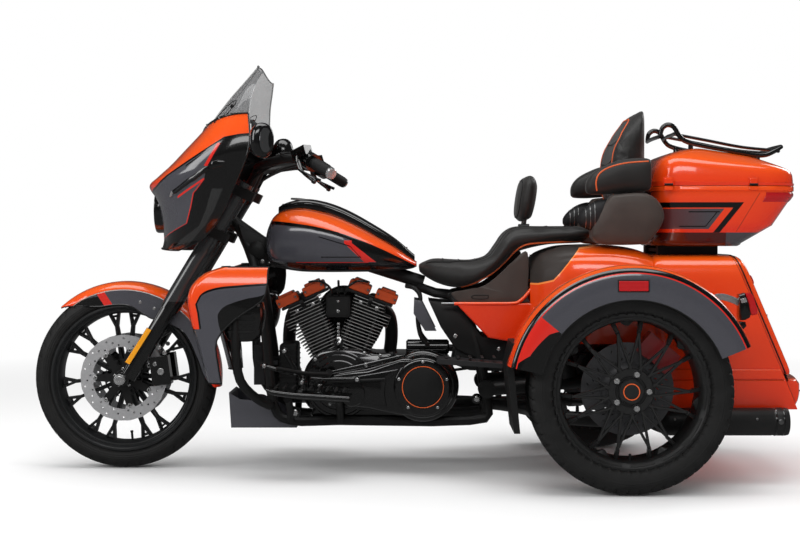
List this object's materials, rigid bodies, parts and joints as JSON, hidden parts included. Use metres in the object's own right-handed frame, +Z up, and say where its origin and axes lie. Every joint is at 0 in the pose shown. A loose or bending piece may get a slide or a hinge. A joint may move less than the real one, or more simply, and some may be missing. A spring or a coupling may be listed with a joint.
{
  "type": "motorized trike",
  "caption": "Touring trike with one steered front wheel, batwing fairing, V-twin engine, trunk body over two rear wheels, hinged trunk door and hinged top box lid.",
  "frame": {"origin": "on the ground under the middle of the machine's length and width", "axes": "+X forward along the length, +Y to the rider's left, +Z up; steering straight, trunk and top box closed"},
  "size_m": [2.6559, 1.384, 1.412],
  "materials": {
    "belt": "matte",
    "black": "gloss",
    "leather": "grained",
    "lens": "clear",
    "paint": "pearl gloss",
    "pipe": "satin heat proof",
    "plastic": "grained",
    "plate": "satin, blank",
    "redcal": "gloss",
    "redlens": "red",
    "rocker": "tinted gloss",
    "satin": "satin",
    "skirt": "grained",
    "slate": "satin metallic",
    "smoked": "smoked clear",
    "steel": "satin",
    "tyre": "matte",
    "wheel": "gloss black with cut faces"
  },
  "bodies": {
    "chassis": {"frame": "satin", "engine_case": "black", "cylinders": "black", "rocker_covers": "rocker", "primary_cover": "black", "air_cleaner": "black", "oil_cooler": "plastic", "chin_spoiler": "slate", "engine_guard": "satin", "lower_fairings": "paint", "fairing_pods": "black", "fuel_tank": "paint", "tank_console": "black", "seat": "leather", "seat_side_panels": "skirt", "rider_backrest": "leather", "trunk_body": "paint", "rear_deck": "paint", "rear_fenders": "paint", "fender_flares": "slate", "rear_bumper": "paint", "side_covers": "paint", "top_box": "paint", "top_box_mount": "satin", "passenger_backrest": "leather", "speaker_pods": "skirt", "exhaust": "pipe", "rider_footboards": "plastic", "passenger_footboards": "plastic", "foot_controls": "satin", "rear_suspension": "satin", "rear_axle": "satin", "rear_calipers": "redcal", "drive_belt": "belt", "rear_lamps": "redlens"},
    "fork": {"fork_yokes": "satin", "fork_legs": "satin", "front_axle": "steel", "front_fender": "paint", "front_calipers": "black", "handlebar": "satin", "hand_controls": "black", "fairing_shell": "paint", "instrument_panel": "black", "windshield": "smoked", "mirrors": "black", "headlamp": "lens"},
    "front_wheel": {"front_tyre": "tyre", "front_wheel": "wheel"},
    "rear_left_wheel": {"rear_left_tyre": "tyre", "rear_left_wheel": "wheel"},
    "rear_right_wheel": {"rear_right_tyre": "tyre", "rear_right_wheel": "wheel"},
    "box_lid": {"top_box_lid": "paint", "luggage_rack": "satin"},
    "trunk_door": {"trunk_door": "paint", "number_plate": "plate"}
  },
  "joints": [
    {"name": "steering", "type": "hinge", "parent": "chassis", "child": "fork", "pos_m": [0.66516, 0, 0.91], "axis": [-0.4384, 0, 0.8988], "range_deg": [-30, 30]},
    {"name": "front_wheel_spin", "type": "hinge", "parent": "fork", "child": "front_wheel", "pos_m": [1.009, 0, 0.319], "axis": [0, 1, 0], "continuous": true},
    {"name": "rear_left_wheel_spin", "type": "hinge", "parent": "chassis", "child": "rear_left_wheel", "pos_m": [-0.691, 0.5475, 0.3255], "axis": [0, 1, 0], "continuous": true},
    {"name": "rear_right_wheel_spin", "type": "hinge", "parent": "chassis", "child": "rear_right_wheel", "pos_m": [-0.691, -0.5475, 0.3255], "axis": [0, 1, 0], "continuous": true},
    {"name": "box_lid_hinge", "type": "hinge", "parent": "chassis", "child": "box_lid", "pos_m": [-1.062, 0.3, 0.986], "axis": [-1, 0, 0], "range_deg": [0, 80]},
    {"name": "trunk_door_hinge", "type": "hinge", "parent": "chassis", "child": "trunk_door", "pos_m": [-1.26774, 0, 0.352], "axis": [0, -1, 0], "range_deg": [0, 85]}
  ]
}
